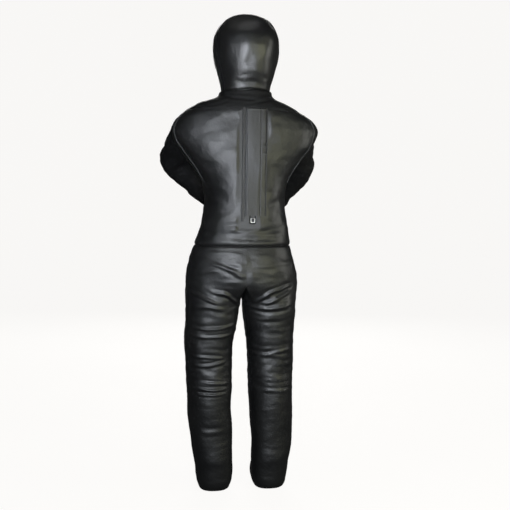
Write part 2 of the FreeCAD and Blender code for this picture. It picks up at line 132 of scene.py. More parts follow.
# Legs as (height, middle of the leg, half width, depth in front, depth behind)
LEG_ROWS = [
    (0.004, 0.1000, 0.030, 0.030, 0.030),
    (0.006, 0.1000, 0.044, 0.044, 0.044),
    (0.014, 0.1000, 0.0535, 0.053, 0.053),
    (0.030, 0.1000, 0.0600, 0.060, 0.060),
    (0.055, 0.1010, 0.0645, 0.063, 0.0635),
    (0.085, 0.1025, 0.0665, 0.066, 0.066),
    (0.112, 0.1050, 0.0690, 0.069, 0.069),
    (0.145, 0.1075, 0.0720, 0.070, 0.070),
    (0.221, 0.1100, 0.0750, 0.072, 0.074),
    (0.306, 0.1110, 0.0780, 0.076, 0.079),
    (0.380, 0.1100, 0.0800, 0.078, 0.082),
    (0.455, 0.1080, 0.0820, 0.080, 0.082),
    (0.520, 0.1065, 0.0850, 0.086, 0.087),
    (0.600, 0.1025, 0.0905, 0.094, 0.095),
    (0.640, 0.1015, 0.0935, 0.096, 0.099),
    (0.664, 0.1005, 0.0950, 0.098, 0.102),
    (0.700, 0.0995, 0.0975, 0.099, 0.106),
    (0.890, 0.0990, 0.0975, 0.099, 0.106),
]
# Feet as (height, half width, depth in front, depth behind)
FOOT_ROWS = [
    (0.0005, 0.046, 0.150, 0.040),
    (0.004, 0.051, 0.156, 0.045),
    (0.015, 0.057, 0.163, 0.050),
    (0.035, 0.0610, 0.166, 0.055),
    (0.060, 0.0615, 0.150, 0.055),
    (0.085, 0.0600, 0.108, 0.050),
    (0.105, 0.0560, 0.080, 0.045),
    (0.120, 0.0480, 0.050, 0.038),
    (0.124, 0.0300, 0.030, 0.030),
]
FOOT_X = 0.100
THIGH_SPLIT_Z = 0.585    # where the upper and the lower leg skins meet
CLEFT_TOP_Z = 0.748      # the two halves of the seat part below this
CROTCH_Z = 0.667
LEFT_THIGH_Z = 0.52      # about the knee the left leg stands out by LEFT_THIGH_OUT
LEFT_THIGH_OUT = 0.009
HIP_SHIFT = 0.009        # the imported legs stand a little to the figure's left of the head
HIP_SHIFT_TOP = (0.955, 0.84)   # it comes in between these heights
HIP_SHIFT_LOW = (0.34, 0.12)    # and goes out again between these
LEG_RADIUS = 0.080       # turns an angle round a leg into a distance


# Curves and meshes

def hermite(knots, values, at):
    """Smooth curve through the values at the knots, without overshoot at the ends."""
    knots = np.asarray(knots, float)
    values = np.asarray(values, float)
    slopes = np.gradient(values, knots, axis=0)
    index = np.clip(np.searchsorted(knots, at) - 1, 0, len(knots) - 2)
    step = (knots[index + 1] - knots[index])
    t = (np.asarray(at) - knots[index]) / step
    if values.ndim > 1:
        t, step = t[:, None], step[:, None]
    a = values[index] * (1 + 2 * t) * (1 - t) ** 2
    b = slopes[index] * step * t * (1 - t) ** 2
    c = values[index + 1] * t * t * (3 - 2 * t)
    d = slopes[index + 1] * step * t * t * (t - 1)
    return a + b + c + d


def resample(rows, spacing=SPACING):
    """The rows of an outline table, spaced evenly along its profile."""
    rows = np.asarray(rows, float)
    travel = np.hypot(np.diff(rows[:, 0]), np.diff(rows[:, -3]))
    along = np.concatenate([[0], np.cumsum(travel)])
    count = max(4, int(along[-1] / spacing))
    return hermite(along, rows, np.linspace(0, along[-1], count + 1))


def reach(ratio, half, power=POWER):
    """How far a rounded outline goes along one axis, for a cosine or sine."""
    return half * np.sign(ratio) * np.abs(ratio) ** (2.0 / power)


def smoothstep(low, high, value):
    """0 at low, 1 at high, smooth between; high may be the smaller of the two."""
    t = np.clip((value - low) / (high - low), 0, 1)
    return t * t * (3 - 2 * t)


def normals_of(points):
    """Outward normals of a grid of rows (open) by columns (closed)."""
    up = np.gradient(points, axis=0)
    around = np.roll(points, -1, axis=1) - np.roll(points, 1, axis=1)
    normal = np.cross(around, up)
    return normal / np.maximum(np.linalg.norm(normal, axis=2, keepdims=True), 1e-9)


def lumps(points, scale, amount, seed):
    """Gentle unevenness of packed filling."""
    flat = points.reshape(-1, 3) * scale + seed
    value = np.array([noise.noise(Vector(p)) for p in flat])
    return amount * value.reshape(points.shape[:2])


def skin(name, points, close=(True, True), sharp_columns=()):
    """A closed mesh from a grid of rows by columns, with a fan across each end."""
    points = points.copy()
    z = points[..., 2]
    points[..., 0] += HIP_SHIFT * (smoothstep(*HIP_SHIFT_TOP, z) - smoothstep(*HIP_SHIFT_LOW, z))
    rows, columns = points.shape[:2]
    vertices = points.reshape(-1, 3)
    index = np.arange(rows * columns).reshape(rows, columns)
    after = np.roll(index, -1, axis=1)
    corners = [index[:-1], after[:-1], after[1:], index[1:]]
    faces = np.stack(corners, axis=-1).reshape(-1, 4).tolist()
    centres = []
    for end, wanted in zip((0, rows - 1), close):
        if not wanted:
            continue
        centre = len(vertices) + len(centres)
        centres.append(points[end].mean(axis=0))
        for j in range(columns):
            k = (j + 1) % columns
            pair = (index[end, k], index[end, j]) if end == 0 else (index[end, j], index[end, k])
            faces.append([int(pair[0]), int(pair[1]), centre])
    if centres:
        vertices = np.vstack([vertices, centres])
    mesh = bpy.data.meshes.new(name)
    mesh.from_pydata(vertices.tolist(), [], faces)
    mesh.update()
    mesh.shade_smooth()
    obj = bpy.data.objects.new(name, mesh)
    bpy.context.scene.collection.objects.link(obj)
    if len(sharp_columns) or any(close):
        mark_sharp(mesh, index, sharp_columns, close)
    return obj


def mark_sharp(mesh, index, columns, close):
    """Keeps the shading of end caps and chosen columns apart from the surface beside them."""
    rows = index.shape[0]
    wanted = set()
    for column, row_low, row_high in columns:
        for row in range(row_low, row_high):
            wanted.add((int(index[row, column]), int(index[row + 1, column])))
    for end, closed in zip((0, rows - 1), close):
        if closed:
            ring = index[end]
            for j in range(len(ring)):
                wanted.add(tuple(sorted((int(ring[j]), int(ring[(j + 1) % len(ring)])))))
    keys = np.empty(len(mesh.edges) * 2, int)
    mesh.edges.foreach_get("vertices", keys)
    keys = np.sort(keys.reshape(-1, 2), axis=1)
    wanted = {tuple(sorted(pair)) for pair in wanted}
    flags = np.array([tuple(k) in wanted for k in keys.tolist()], bool)
    attribute = mesh.attributes.get("sharp_edge")
    if attribute is None:
        attribute = mesh.attributes.new("sharp_edge", "BOOLEAN", "EDGE")
    attribute.data.foreach_set("value", flags)


def welt(name, path, radius, sides=8):
    """A thin closed cord of leather along a path of points."""
    path = np.asarray(path, float)
    ahead = np.gradient(path, axis=0)
    ahead /= np.linalg.norm(ahead, axis=1, keepdims=True)
    guide = np.tile([0.0, 0.0, 1.0], (len(path), 1))
    guide[np.abs(ahead[:, 2]) > 0.9] = [0.0, 1.0, 0.0]
    across = np.cross(ahead, guide)
    across /= np.linalg.norm(across, axis=1, keepdims=True)
    other = np.cross(across, ahead)
    turn = np.linspace(0, 2 * math.pi, sides, endpoint=False)
    place = np.arange(len(path))
    taper = np.minimum(1, np.minimum(place, place[::-1]) / 4 + 0.3)
    grid = path[:, None] + radius * taper[:, None, None] * (
        across[:, None] * np.cos(turn)[None, :, None] + other[:, None] * np.sin(turn)[None, :, None])
    return skin(name, grid)


def crease(place, height, at, half_length, tilt, sag, depth, width):
    """Depth pressed into a skin by one fold, with a raised lip above and below it."""
    along = place - at[0]
    path = at[1] + tilt * along + sag * (along / half_length) ** 2
    off = (height - path) / width
    window = np.exp(-(along / half_length) ** 4)
    upper_lip = 0.55 * np.exp(-(off - 1.9) ** 2)
    lower_lip = 0.45 * np.exp(-(off + 1.9) ** 2)
    return depth * window * (-np.exp(-off ** 2) + upper_lip + lower_lip)


# Materials

def node_tree(name):
    """A new node material, with its nodes and links."""
    material = bpy.data.materials.new(name)
    material.use_nodes = True
    return material, material.node_tree.nodes, material.node_tree.links


def add_noise(nodes, links, source, scale, detail=3.0):
    """The value of a noise texture."""
    texture = nodes.new("ShaderNodeTexNoise")
    texture.inputs["Scale"].default_value = scale
    texture.inputs["Detail"].default_value = detail
    links.new(source, texture.inputs["Vector"])
    return texture.outputs["Fac"]


def add_ramp(nodes, links, source, low, high):
    """A colour between low and high."""
    ramp = nodes.new("ShaderNodeValToRGB")
    ramp.color_ramp.elements[0].position = 0.3
    ramp.color_ramp.elements[1].position = 0.7
    ramp.color_ramp.elements[0].color = low
    ramp.color_ramp.elements[1].color = high
    links.new(source, ramp.inputs["Fac"])
    return ramp.outputs["Color"]


def add_range(nodes, links, source, low, high):
    """A value between low and high."""
    span = nodes.new("ShaderNodeMapRange")
    span.inputs["To Min"].default_value = low
    span.inputs["To Max"].default_value = high
    links.new(source, span.inputs["Value"])
    return span.outputs["Result"]


def add_bump(nodes, links, heights):
    """Chained bumps from (height socket, strength, distance)."""
    previous = None
    for height, strength, distance in heights:
        bump = nodes.new("ShaderNodeBump")
        bump.inputs["Strength"].default_value = strength
        bump.inputs["Distance"].default_value = distance
        links.new(height, bump.inputs["Height"])
        if previous is not None:
            links.new(previous, bump.inputs["Normal"])
        previous = bump.outputs["Normal"]
    return previous


def leather(name, dark, pale, rough, grain, shine, coat):
    """Black leather or enamel: grain, soft unevenness, patches of more and less gloss."""
    material, nodes, links = node_tree(name)
    shader = nodes["Principled BSDF"]
    place = nodes.new("ShaderNodeTexCoord").outputs["Object"]
    pores = nodes.new("ShaderNodeTexVoronoi")
    pores.feature = "SMOOTH_F1"
    pores.inputs["Scale"].default_value = 620.0
    links.new(place, pores.inputs["Vector"])
    fine = add_noise(nodes, links, place, 900.0)
    soft = add_noise(nodes, links, place, 30.0, 5.0)
    patches = add_noise(nodes, links, place, 9.0)
    links.new(add_ramp(nodes, links, patches, dark, pale), shader.inputs["Base Color"])
    links.new(add_range(nodes, links, patches, rough[0], rough[1]), shader.inputs["Roughness"])
    middling = add_noise(nodes, links, place, 95.0, 4.0)
    bumps = [(soft, 0.32, 0.006), (middling, 0.25, 0.0022),
             (pores.outputs["Distance"], grain, 0.0006), (fine, grain * 0.6, 0.0003)]
    links.new(add_bump(nodes, links, bumps), shader.inputs["Normal"])
    shader.inputs["Specular IOR Level"].default_value = shine
    shader.inputs["Coat Weight"].default_value = coat
    shader.inputs["Coat Roughness"].default_value = 0.35
    return material


def cloth(name, dark, pale, scale, strength):
    """Woven tape or pile: two crossed waves with a little noise."""
    material, nodes, links = node_tree(name)
    shader = nodes["Principled BSDF"]
    place = nodes.new("ShaderNodeTexCoord").outputs["Object"]
    heights = []
    for direction in ("X", "Z"):
        wave = nodes.new("ShaderNodeTexWave")
        wave.bands_direction = direction
        wave.inputs["Scale"].default_value = scale
        wave.inputs["Distortion"].default_value = 0.6
        links.new(place, wave.inputs["Vector"])
        heights.append((wave.outputs["Fac"], strength, 0.0004))
    fuzz = add_noise(nodes, links, place, 1500.0)
    links.new(add_ramp(nodes, links, fuzz, dark, pale), shader.inputs["Base Color"])
    links.new(add_bump(nodes, links, heights + [(fuzz, strength, 0.0005)]), shader.inputs["Normal"])
    shader.inputs["Roughness"].default_value = 0.85
    return material


def metal(name, colour, rough):
    """Bright nickel plate with fine wear."""
    material, nodes, links = node_tree(name)
    shader = nodes["Principled BSDF"]
    place = nodes.new("ShaderNodeTexCoord").outputs["Object"]
    wear = add_noise(nodes, links, place, 420.0, 6.0)
    dull = tuple(0.75 * c for c in colour[:3]) + (1.0,)
    links.new(add_ramp(nodes, links, wear, dull, colour), shader.inputs["Base Color"])
    links.new(add_range(nodes, links, wear, rough * 0.7, rough * 1.5), shader.inputs["Roughness"])
    links.new(add_bump(nodes, links, [(wear, 0.15, 0.0002)]), shader.inputs["Normal"])
    shader.inputs["Metallic"].default_value = 1.0
    return material


def stage_material():
    """Pale, glossless floor and wall that give off their own soft light."""
    material, nodes, links = node_tree("stage_white")
    shader = nodes["Principled BSDF"]
    place = nodes.new("ShaderNodeTexCoord").outputs["Object"]
    tone = add_noise(nodes, links, place, 0.8)
    links.new(add_ramp(nodes, links, tone, (0.10, 0.099, 0.098, 1), (0.12, 0.119, 0.118, 1)),
              shader.inputs["Base Color"])
    shader.inputs["Roughness"].default_value = 0.95
    shader.inputs["Specular IOR Level"].default_value = 0.0
    shader.inputs["Emission Color"].default_value = (1.0, 0.99, 0.975, 1)
    shader.inputs["Emission Strength"].default_value = 0.93
    return material


GLOSS = leather("leather_gloss", (0.0045, 0.0048, 0.0055, 1), (0.0095, 0.0097, 0.0095, 1),
                rough=(0.38, 0.54), grain=0.16, shine=0.58, coat=0.20)
HOOD = leather("leather_hood", (0.0045, 0.0048, 0.0055, 1), (0.0095, 0.0097, 0.0092, 1),
               rough=(0.36, 0.50), grain=0.16, shine=0.74, coat=0.25)
DULL = leather("leather_dull", (0.0050, 0.0051, 0.0055, 1), (0.0090, 0.0090, 0.0093, 1),
               rough=(0.62, 0.80), grain=0.30, shine=0.30, coat=0.0)
TAPE = cloth("zip_tape_weave", (0.010, 0.010, 0.011, 1), (0.022, 0.022, 0.023, 1), 900.0, 0.5)
PILE = cloth("hook_loop_pile", (0.008, 0.008, 0.009, 1), (0.030, 0.030, 0.032, 1), 500.0, 1.0)
NYLON = cloth("zip_nylon", (0.012, 0.012, 0.013, 1), (0.020, 0.020, 0.020, 1), 300.0, 0.2)
NICKEL = metal("zip_nickel", (0.55, 0.55, 0.53, 1), 0.34)
ENAMEL = leather("zip_enamel", (0.006, 0.006, 0.006, 1), (0.012, 0.012, 0.012, 1),
                 rough=(0.35, 0.50), grain=0.05, shine=0.5, coat=0.3)
PIPING = leather("leather_piping", (0.030, 0.030, 0.031, 1), (0.050, 0.050, 0.052, 1),
                 rough=(0.38, 0.50), grain=0.10, shine=0.60, coat=0.0)
THREAD = cloth("stitch_thread", (0.020, 0.020, 0.022, 1), (0.045, 0.045, 0.048, 1), 2500.0, 0.8)


def finish_piece(obj, material, slot, *nodes):
    """Material and the CAD nodes that the piece stands for, which are hidden; the slot is not used."""
    obj.data.materials.clear()
    obj.data.materials.append(material)
    if nodes:
        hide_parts(*nodes)
    return obj


# Head

HOOD_SEAMS = {"left": math.radians(22.0), "right": math.pi - math.radians(22.0)}
HOOD_RADIUS = 0.11
COLLAR_FOLDS = [   # (x, height, half length, tilt, depth)
    (0.03, 1.384, 0.05, 0.10, 0.0020),
    (-0.05, 1.376, 0.05, -0.2, 0.0020),
    (0.10, 1.367, 0.04, -0.3, 0.0018),
    (-0.11, 1.364, 0.03, 0.3, 0.0018),
]


def ring_grid(rows):
    """Closed outlines round the upright axis, from an outline table."""
    z, half, front, behind = resample(rows, 0.003).T
    depth = np.where(np.sin(RING_TURN) > 0, behind[:, None], front[:, None])
    x = reach(np.cos(RING_TURN), half[:, None])
    y = reach(np.sin(RING_TURN), depth)
    return np.stack([x, y, np.broadcast_to(z[:, None], x.shape)], axis=2)


def make_head():
    """The hood, with its two side seams, a little slack above the hem and a welt along each seam."""
    points = ring_grid(HEAD_ROWS)
    normal = normals_of(points)
    z = points[..., 2]
    fade = smoothstep(HEAD_TOP, HEAD_TOP - 0.03, z)
    push = (lumps(points, 14.0, 0.0040, 3.0) + lumps(points, 34.0, 0.0012, 8.0)) * fade
    for centre in HOOD_SEAMS.values():
        off = np.angle(np.exp(1j * (RING_TURN - centre)))[None, :] * HOOD_RADIUS
        push = push - 0.0028 * np.exp(-(off / 0.0035) ** 2) * fade
        push = push + 0.0012 * np.exp(-((np.abs(off) - 0.008) / 0.005) ** 2) * fade
    back = smoothstep(0.0, 0.06, points[..., 1])
    x = points[..., 0]
    push = push + crease(x, z, (0.0, 1.440), 0.07, 0.0, -0.012, 0.0006, 0.008) * back
    push = push + crease(x, z, (-0.02, 1.460), 0.05, 0.15, -0.008, 0.0006, 0.009) * back
    hem = smoothstep(1.416, 1.405, z)
    push = push - 0.004 * hem
    points = points + normal * push[..., None]
    arch = 0.009 * back * np.exp(-(points[..., 0] / 0.06) ** 2)
    low = smoothstep(1.47, 1.40, points[..., 2])
    points[..., 2] += arch * low
    hood = skin("hood", points)
    finish_piece(hood, HOOD, "leather", "hood_back_panel", "hood_front_panel", "head_filling")
    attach(hood, "head")
    for label, centre in HOOD_SEAMS.items():
        column = int(round(centre / (2 * math.pi) * len(RING_TURN)))
        path = points[8:-14:2, column] + normal[8:-14:2, column] * 0.0006
        seam = welt("hood_seam_" + label, path, 0.0011)
        finish_piece(seam, DULL, "leather")
        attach(seam, "head")


def make_collar():
    """The dull collar over neck and shoulders, with four short folds behind."""
    points = ring_grid(COLLAR_ROWS)
    raise_shoulder(points)
    normal = normals_of(points)
    push = lumps(points, 22.0, 0.0030, 11.0)
    back = smoothstep(-0.02, 0.05, points[..., 1])
    x, z = points[..., 0], points[..., 2]
    for at_x, at_z, length, tilt, depth in COLLAR_FOLDS:
        push = push + crease(x, z, (at_x, at_z), length, tilt, 0.0, depth, 0.005) * back
    points = points + normal * push[..., None]
    collar = skin("collar", points)
    finish_piece(collar, DULL, "suede", "neck_collar")
    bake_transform(collar)


# Torso

ZIP_HALF_SLOT = 0.0112
STRIP_HALF = 0.066
SLOT_FLOOR_Y = 0.0905
BACK_EDGE_Y = 0.03       # only leather behind this is part of the flat strip
TORSO_FOLDS = [   # (x, height, half length, tilt, sag, depth, width)
    (0.085, 0.925, 0.075, 0.10, 0.004, 0.0032, 0.011),
    (0.060, 0.949, 0.060, -0.12, 0.006, 0.0022, 0.009),
    (0.000, 0.905, 0.110, 0.02, 0.003, 0.0020, 0.009),
    (-0.07, 0.930, 0.060, -0.15, 0.004, 0.0018, 0.010),
    (0.105, 0.990, 0.045, -0.25, 0.004, 0.0016, 0.010),
    (0.120, 1.060, 0.060, 0.45, 0.0, 0.0016, 0.014),
    (-0.115, 1.040, 0.050, -0.5, 0.0, 0.0014, 0.013),
    (0.150, 1.215, 0.060, 0.25, 0.0, 0.0008, 0.016),
    (-0.160, 1.235, 0.050, -0.3, 0.0, 0.0008, 0.016),
]


def torso_grid():
    """Torso outlines, with closer columns along the flat strip down the back."""
    rows = resample(TORSO_ROWS)
    z, half, front, behind = (v[:, None] for v in rows.T)
    fine = np.concatenate([np.linspace(-STRIP_HALF, -0.015, 18),
                           np.linspace(-0.013, 0.013, 27),
                           np.linspace(0.015, STRIP_HALF, 18)])[::-1] + ZIP_X
    ratio = np.sign(fine) * (np.abs(fine) / half) ** (POWER / 2)
    turn_strip = np.arccos(np.clip(ratio, -1, 1))
    first, last = turn_strip[:, :1], turn_strip[:, -1:]
    share = np.linspace(0, 1, 180)[1:-1][None, :]
    turn_rest = last + (first + 2 * math.pi - last) * share
    turn = np.concatenate([turn_strip, turn_rest], axis=1)
    depth = np.where(np.sin(turn) > 0, behind, front)
    x = reach(np.cos(turn), half)
    y = reach(np.sin(turn), depth)
    return np.stack([x, y, np.broadcast_to(z, x.shape)], axis=2)


def raise_shoulder(points):
    """The figure's left shoulder is packed a little fuller than its right."""
    x, z = points[..., 0], points[..., 2]
    fuller = 0.013 * np.exp(-((z - 1.352) / 0.028) ** 2)
    fuller = fuller + 0.018 * np.exp(-((z - 1.374) / 0.010) ** 2)
    points[..., 0] = x + fuller * smoothstep(0.04, 0.13, x)


def make_torso():
    """The torso cover, with its folds and zip slot, and the piping round each armhole."""
    points = torso_grid()
    raise_shoulder(points)
    normal = normals_of(points)
    x, y, z = points[..., 0], points[..., 1], points[..., 2]
    back = smoothstep(0.0, 0.05, y)
    flat = smoothstep(0.925, 0.945, z) * smoothstep(1.372, 1.356, z)
    from_zip = np.abs(x - ZIP_X)
    beside_zip = 1 - (1 - smoothstep(0.042, 0.060, from_zip)) * back * flat
    ends = smoothstep(0.880, 0.915, z)
    push = lumps(points, 9.0, 0.0050, 21.0) + lumps(points, 24.0, 0.0022, 25.0)
    push = push * (0.25 + 0.75 * beside_zip)
    push = (push + lumps(points, 55.0, 0.0007, 28.0)) * ends
    for at_x, at_z, *shape in TORSO_FOLDS:
        push = push + crease(x, z, (at_x, at_z), *shape) * back
    for at_x, at_z, *shape in TORSO_FOLDS:   # the same folds go on round the front, a little shifted
        push = push + crease(x + 0.02, z - 0.012, (at_x, at_z), *shape) * (1 - back)
    points = points + normal * push[..., None]
    sunk = np.maximum(points[..., 1] - (BACK_Y - 0.0004), 0) * (y > BACK_EDGE_Y)
    points[..., 1] -= sunk * flat * (1 - smoothstep(0.048, 0.062, from_zip))
    slot = (1 - smoothstep(ZIP_HALF_SLOT - 0.0014, ZIP_HALF_SLOT, from_zip)) * (y > BACK_EDGE_Y)
    slot = slot * smoothstep(ZIP_BOTTOM - 0.004, ZIP_BOTTOM - 0.001, z)
    slot = slot * smoothstep(ZIP_TOP + 0.004, ZIP_TOP + 0.001, z)
    floor = np.minimum(points[..., 1], SLOT_FLOOR_Y)
    points[..., 1] = points[..., 1] * (1 - slot) + slot * floor
    torso = skin("torso_skin", points)
    finish_piece(torso, GLOSS, "leather", "chest_panel", "back_panel_left", "back_panel_right",
                 "torso_filling", "waist_gusset", "shoulder_gusset_left", "shoulder_gusset_right")
    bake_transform(torso)
    heights = points[:, 0, 2]
    rows = np.flatnonzero((heights > 1.10) & (heights < 1.338))
    for label, side in SIDES.items():
        first_x, first_y = points[rows[0], :, 0], points[rows[0], :, 1]
        from_edge = np.abs(np.abs(first_x) - first_x.max() * 0.985)
        elsewhere = (np.sign(first_x) != side) | (first_y < 0.012)
        column = int(np.argmin(from_edge + 10.0 * elsewhere))
        path = points[rows][::2, column] + normal[rows][::2, column] * 0.0005
        piping = welt("armhole_piping_" + label, path, 0.0015)
        finish_piece(piping, PIPING, "leather")
        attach(piping, "torso")


# Seat and legs

def leg_rows_at(z):
    """The leg outlines at any heights."""
    table = np.asarray(LEG_ROWS)
    return hermite(table[:, 0], table[:, 1:], z)


def leg_clearance(z):
    """How far each leg keeps from the middle plane: nothing where the seat is one piece."""
    return 0.0004 * smoothstep(CLEFT_TOP_Z, CLEFT_TOP_Z - 0.03, z)


def trouser_grid(side, z):
    """Half of the seat above the crotch, one leg below it, as closed outlines."""
    pelvis = np.asarray(PELVIS_ROWS)
    seat_z = np.clip(z, pelvis[0, 0], None)
    half, front, behind = hermite(pelvis[:, 0], pelvis[:, 1:], seat_z).T[:, :, None]
    middle, leg_half, leg_front, leg_behind = leg_rows_at(z).T[:, :, None]
    outer, inner = 110, 46
    share = np.linspace(0, 1, outer)[None, :]
    turn = math.pi / 2 - math.pi * share
    seat_x = reach(np.cos(turn), half)
    seat_y = reach(np.sin(turn), np.where(np.sin(turn) > 0, behind, front))
    start = math.pi - np.arctan2(leg_behind, middle)
    stop = -(math.pi - np.arctan2(leg_front, middle))
    leg_turn = start + (stop - start) * share
    leg_x = middle + reach(np.cos(leg_turn), leg_half)
    leg_y = reach(np.sin(leg_turn), np.where(np.sin(leg_turn) > 0, leg_behind, leg_front))
    inner_share = np.linspace(0, 1, inner + 2)[None, 1:-1]
    wall_y = -front + (behind + front) * inner_share
    inner_turn = stop + (start - 2 * math.pi - stop) * inner_share
    inner_x = middle + reach(np.cos(inner_turn), leg_half)
    inner_y = reach(np.sin(inner_turn), np.where(np.sin(inner_turn) > 0, leg_behind, leg_front))
    mix = smoothstep(CLEFT_TOP_Z, CROTCH_Z, z)[:, None]
    x = np.concatenate([seat_x * (1 - mix) + leg_x * mix, inner_x * mix], axis=1)
    y = np.concatenate([seat_y * (1 - mix) + leg_y * mix,
                        wall_y * (1 - mix) + inner_y * mix], axis=1)
    x = np.maximum(x, leg_clearance(z)[:, None])
    if side > 0:
        x = x + LEFT_THIGH_OUT * np.exp(-((z[:, None] - LEFT_THIGH_Z) / 0.09) ** 2) * mix
    points = np.stack([side * x, y, np.broadcast_to(z[:, None], x.shape)], axis=2)
    if side < 0:
        points = points[:, ::-1]
    return points, outer


# Folds of the seat as (x, height, half length, tilt, sag, depth, width), 1 for the figure's left
SEAT_FOLDS = {
    1: [
        (0.075, 0.806, 0.050, 0.33, 0.004, 0.0034, 0.0065),
        (0.030, 0.783, 0.030, 0.50, 0.0, 0.0030, 0.0070),
        (0.125, 0.792, 0.028, -0.30, 0.0, 0.0016, 0.0060),
        (0.140, 0.700, 0.040, 0.48, 0.0, 0.0052, 0.0055),
        (0.085, 0.716, 0.034, 0.20, 0.0, 0.0038, 0.0060),
        (0.045, 0.696, 0.030, 0.75, 0.0, 0.0048, 0.0060),
        (0.120, 0.668, 0.040, 0.10, -0.004, 0.0030, 0.0060),
        (0.070, 0.855, 0.090, 0.05, 0.0, 0.0014, 0.0080),
    ],
    -1: [
        (-0.115, 0.727, 0.042, -0.28, 0.0, 0.0040, 0.0055),
        (-0.060, 0.700, 0.036, -0.62, 0.0, 0.0048, 0.0060),
        (-0.118, 0.700, 0.045, -0.50, 0.0, 0.0045, 0.0065),
        (-0.085, 0.662, 0.070, -0.02, 0.010, 0.0046, 0.0060),
        (-0.100, 0.636, 0.055, -0.06, 0.007, 0.0040, 0.0065),
        (-0.110, 0.815, 0.060, -0.10, 0.0, 0.0014, 0.0080),
    ],
}
# Folds behind the legs, the same, but with the place from the leg's middle instead of x
LEG_FOLDS = {
    1: [
        (0.005, 0.592, 0.052, -0.05, 0.006, 0.0048, 0.0050),
        (0.000, 0.563, 0.050, -0.04, 0.003, 0.0042, 0.0048),
        (0.010, 0.490, 0.036, 0.10, 0.0, 0.0036, 0.0045),
        (0.012, 0.462, 0.050, -0.12, 0.005, 0.0046, 0.0050),
        (-0.010, 0.398, 0.045, 0.10, 0.0, 0.0036, 0.0045),
        (0.000, 0.375, 0.048, 0.05, 0.004, 0.0046, 0.0045),
        (0.005, 0.358, 0.045, 0.00, 0.002, 0.0036, 0.0042),
        (0.005, 0.222, 0.042, 0.00, 0.004, 0.0024, 0.0080),
    ],
    -1: [
        (0.005, 0.625, 0.050, -0.05, 0.006, 0.0042, 0.0060),
        (0.010, 0.560, 0.045, 0.05, 0.003, 0.0014, 0.0070),
        (-0.010, 0.505, 0.036, -0.18, 0.0, 0.0028, 0.0050),
        (0.015, 0.494, 0.030, 0.06, 0.0, 0.0020, 0.0050),
        (-0.005, 0.367, 0.045, 0.03, 0.0, 0.0026, 0.0060),
    ],
}

FOLD_DEPTH = 0.62        # share of the depths in LEG_FOLDS
SEAT_DEPTH = 0.75        # share of the depths in SEAT_FOLDS
WRINKLES = 34
LEG_SEEDS = {1: 31.0, -1: 57.0}
OUTER_SEAM, INNER_SEAM = 1.25, -1.62   # angles of the leg seams, in radians from straight behind
SEAM_WIDTH = 0.0035


def leg_push(side, points, seed):
    """Folds, lumps and small wrinkles of one leg's leather, as a push along its normals."""
    x, y, z = points[..., 0], points[..., 1], points[..., 2]
    middle = side * leg_rows_at(z[:, 0])[:, 0][:, None]
    out = x - middle
    angle = np.arctan2(out, y)
    place = angle * LEG_RADIUS
    facing = smoothstep(2.3, 1.3, np.abs(angle))
    push = lumps(points, 13.0, 0.0036, seed)
    calm = 0.35 + 0.65 * smoothstep(0.30, 0.42, z)
    push = push + lumps(points * np.array([1.0, 1.0, 2.4]), 24.0, 0.0016, seed + 5) * calm
    for fold in LEG_FOLDS[side]:
        push = push + crease(place, z, fold[:2], *fold[2:]) * facing * FOLD_DEPTH
    for fold in SEAT_FOLDS[side]:
        push = push + crease(x, z, fold[:2], *fold[2:]) * smoothstep(0.0, 0.03, y) * SEAT_DEPTH
    draw = np.random.default_rng(int(seed))
    for _ in range(WRINKLES):
        at = (draw.uniform(-0.24, 0.24), draw.uniform(0.15, 0.72))
        length, tilt = draw.uniform(0.012, 0.045), draw.uniform(-0.25, 0.25)
        depth, width = draw.uniform(0.0003, 0.0011), draw.uniform(0.0040, 0.0080)
        sag = draw.uniform(-0.003, 0.003)
        push = push + crease(place, z, at, length, tilt, sag, depth, width) * calm
    seam = np.exp(-((angle - OUTER_SEAM) * LEG_RADIUS / SEAM_WIDTH) ** 2)
    seam = seam + np.exp(-((angle - INNER_SEAM) * LEG_RADIUS / SEAM_WIDTH) ** 2)
    push = push - 0.0026 * seam * smoothstep(0.74, 0.68, z)
    return push


def make_legs():
    """Both halves of the seat with their thighs, and both lower legs."""
    for label, side in SIDES.items():
        z = np.linspace(THIGH_SPLIT_Z, PELVIS_ROWS[-1][0], 100)
        points, outer = trouser_grid(side, z)
        shape_and_skin_trouser(label, side, points, outer)
        make_lower_leg(label, side)


def shape_and_skin_trouser(label, side, points, outer):
    """One half of the seat and its thigh."""
    normal = normals_of(points)
    push = leg_push(side, points, LEG_SEEDS[side])
    z = points[..., 2]
    x = np.abs(points[..., 0])
    joined = smoothstep(0.0, 0.02, x) + smoothstep(CLEFT_TOP_Z, CROTCH_Z, z)
    keep = np.clip(joined, 0, 1) * smoothstep(0.880, 0.860, z)
    points = points + normal * (push * keep)[..., None]
    points[..., 0] = side * np.maximum(side * points[..., 0], leg_clearance(z))
    rows = points.shape[0]
    cleft_row = int(np.searchsorted(z[:, 0], CLEFT_TOP_Z - 0.02))
    columns = points.shape[1]
    first, second = (0, outer - 1) if side > 0 else (columns - 1, columns - outer)
    sharp = [(first, cleft_row, rows - 1), (second, cleft_row, rows - 1)]
    trouser = skin("trouser_" + label, points, sharp_columns=sharp)
    replaced = ["seat_panel_" + label, "hip_gusset_" + label, "thigh_front_panel_" + label,
                "thigh_back_panel_" + label, "thigh_filling_" + label]
    if side > 0:
        replaced += ["pelvis_front_panel", "pelvis_filling", "waist_welt"]
    finish_piece(trouser, GLOSS, "leather", *replaced)
    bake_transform(trouser)


